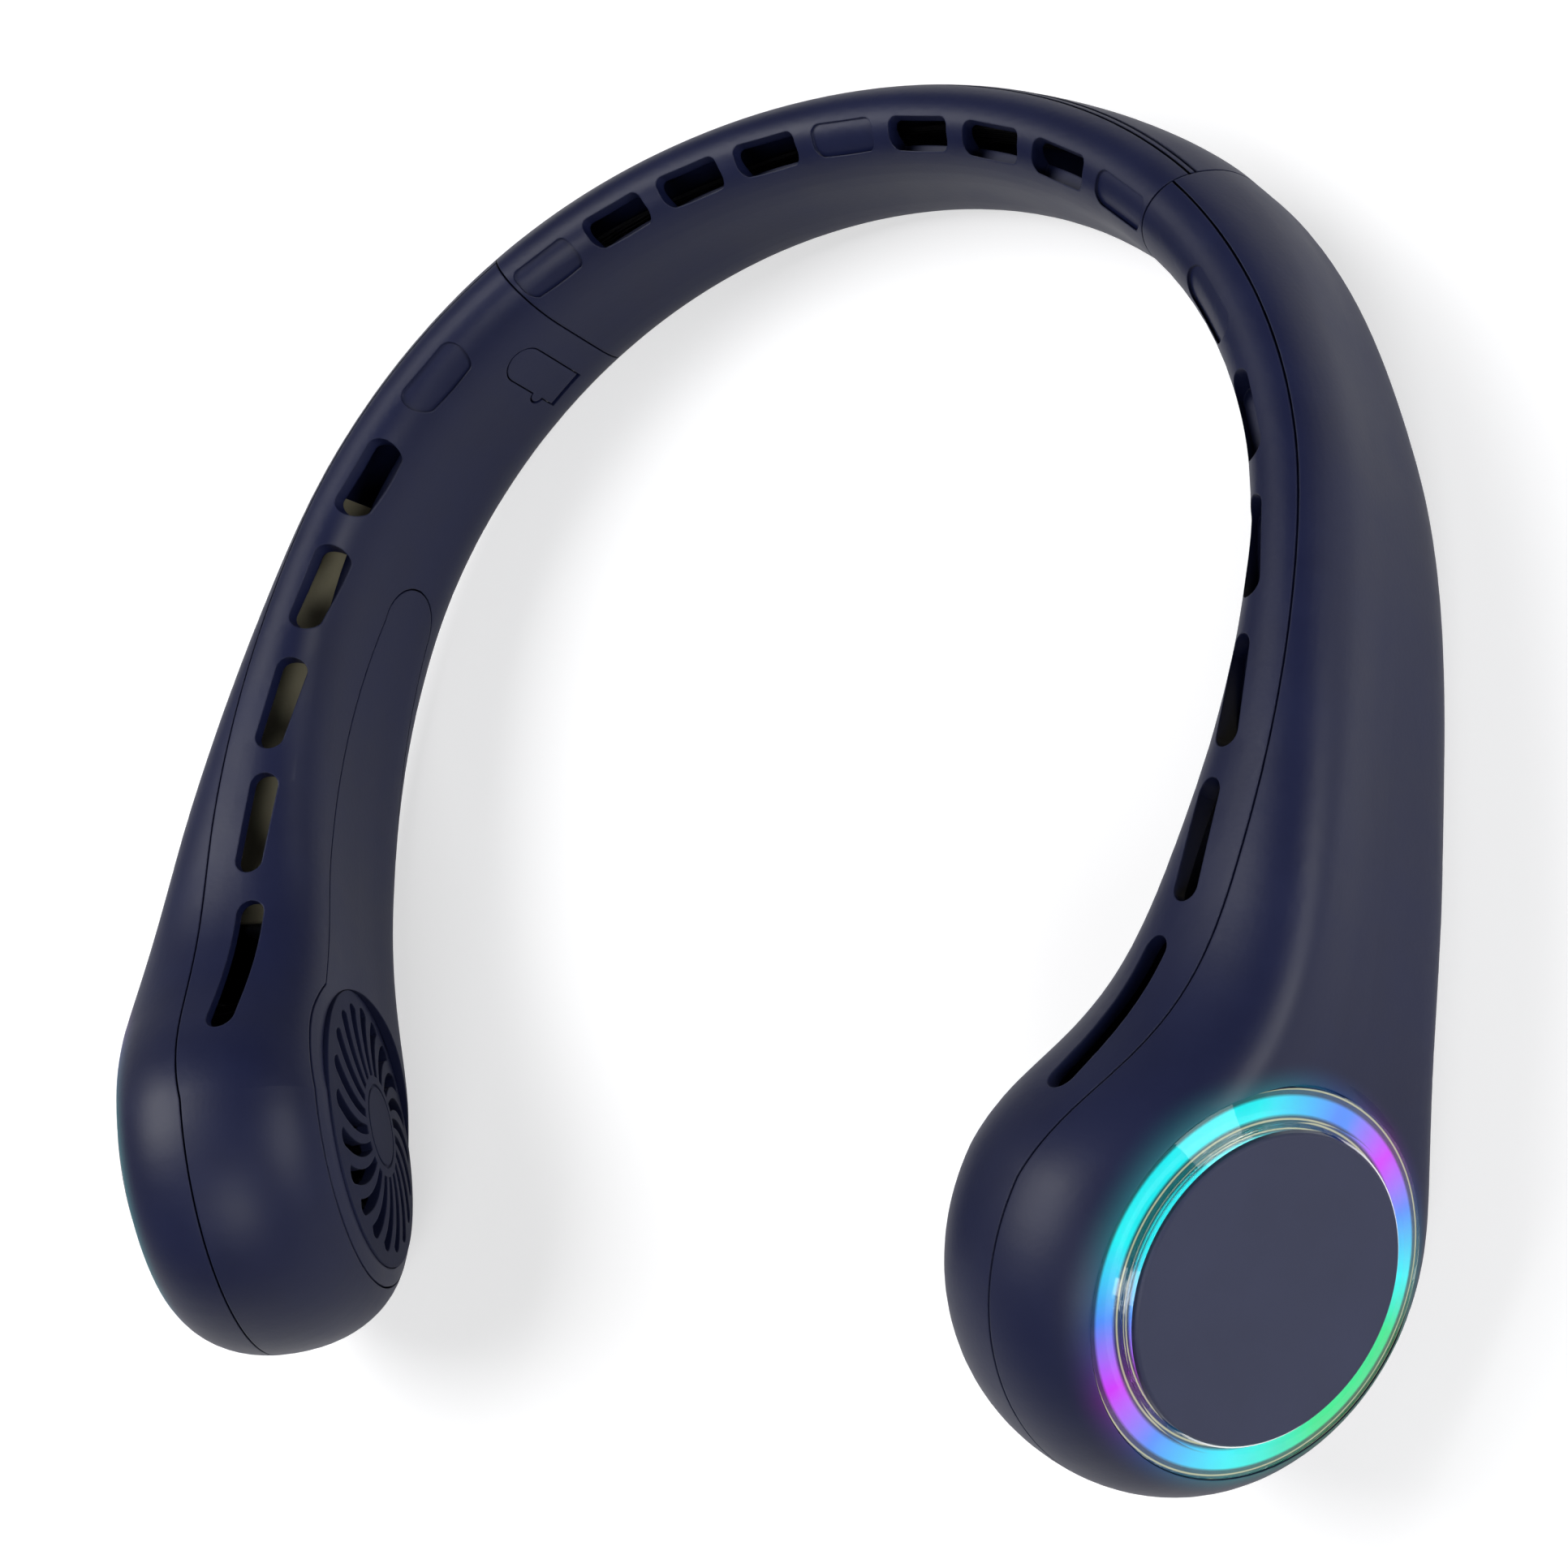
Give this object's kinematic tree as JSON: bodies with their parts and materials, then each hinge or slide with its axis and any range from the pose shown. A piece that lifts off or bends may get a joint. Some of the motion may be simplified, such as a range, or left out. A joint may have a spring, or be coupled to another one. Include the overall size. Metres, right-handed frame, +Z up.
{
  "type": "neck fan",
  "caption": "U-shaped electric neck fan: a vented band that rests round the neck and ends in two leaning round blower pods with swirled intake grilles and lit side rings.",
  "frame": {"origin": "on the table under the middle of the fan: x 0 on the mirror plane, y 0 halfway from back to front, z 0 at the plane that pods and back rest on", "axes": "+X from the wearer's left to right arm, +Y to the back of the neck, +Z up"},
  "size_m": [0.2066, 0.206, 0.0629],
  "materials": {
    "navy_plastic": "satin, fine moulded texture",
    "disc_plastic": "satin",
    "button_plastic": "satin",
    "inner_plastic": "plain moulded",
    "wheel_plastic": "plain moulded",
    "clear_ring": "clear",
    "light_guide": "milky, lit from below",
    "lamp": "moulded lamp",
    "board": "lacquered board",
    "cable": "flat cable",
    "cell_foil": "foil pouch",
    "magnet": "matt",
    "copper": "enamelled wire",
    "bronze": "sintered",
    "steel": "plated"
  },
  "bodies": {
    "fan_body": {"left_battery": "cell_foil", "left_bearing": "bronze", "left_duct_wall": "inner_plastic", "left_inner_cover": "navy_plastic", "left_intake_grille": "navy_plastic", "left_joint_sleeve": "inner_plastic", "left_led_board": "board", "left_led_chips": "lamp", "left_light_guide": "light_guide", "left_light_lens": "clear_ring", "left_motor_plate": "inner_plastic", "left_outer_shell": "navy_plastic", "left_plate_screws": "steel", "left_side_disc": "disc_plastic", "left_stator": "magnet", "left_stator_coils": "copper", "left_vent_frame": "navy_plastic", "right_battery": "cell_foil", "right_bearing": "bronze", "right_duct_wall": "inner_plastic", "right_inner_cover": "navy_plastic", "right_intake_grille": "navy_plastic", "right_joint_sleeve": "inner_plastic", "right_led_board": "board", "right_led_chips": "lamp", "right_light_guide": "light_guide", "right_light_lens": "clear_ring", "right_motor_plate": "inner_plastic", "right_outer_shell": "navy_plastic", "right_plate_screws": "steel", "right_side_disc": "disc_plastic", "right_stator": "magnet", "right_stator_coils": "copper", "right_vent_frame": "navy_plastic", "board_screws": "steel", "control_board": "board", "harness_ribbon": "cable", "neckband_channel": "navy_plastic", "neckband_outer_cover": "navy_plastic", "port_cover_pin": "steel", "power_switch": "wheel_plastic", "usb_socket": "steel"},
    "left_rotor": {"left_impeller": "wheel_plastic", "left_rotor_cup": "steel", "left_magnet_ring": "magnet", "left_shaft": "steel"},
    "right_rotor": {"right_impeller": "wheel_plastic", "right_rotor_cup": "steel", "right_magnet_ring": "magnet", "right_shaft": "steel"},
    "button": {"power_button": "button_plastic"},
    "flap": {"port_cover": "navy_plastic"}
  },
  "joints": [
    {"name": "right_blower_spin", "type": "hinge", "parent": "fan_body", "child": "right_rotor", "pos_m": [0.06338, -0.06622, 0.02489], "axis": [0.865, -0.3148, 0.3907], "continuous": true},
    {"name": "left_blower_spin", "type": "hinge", "parent": "fan_body", "child": "left_rotor", "pos_m": [-0.06338, -0.06622, 0.02489], "axis": [-0.865, -0.3148, 0.3907], "continuous": true},
    {"name": "power_button_press", "type": "slide", "parent": "fan_body", "child": "button", "axis": [0.7481, -0.6584, -0.0828], "range_m": [0, 0.0008], "stiffness_N_per_m": 1500},
    {"name": "port_cover_hinge", "type": "hinge", "parent": "fan_body", "child": "flap", "pos_m": [-0.0617, 0.06249, 0.01253], "axis": [0.6606, 0.7507, 0], "range_deg": [0, 90]}
  ]
}
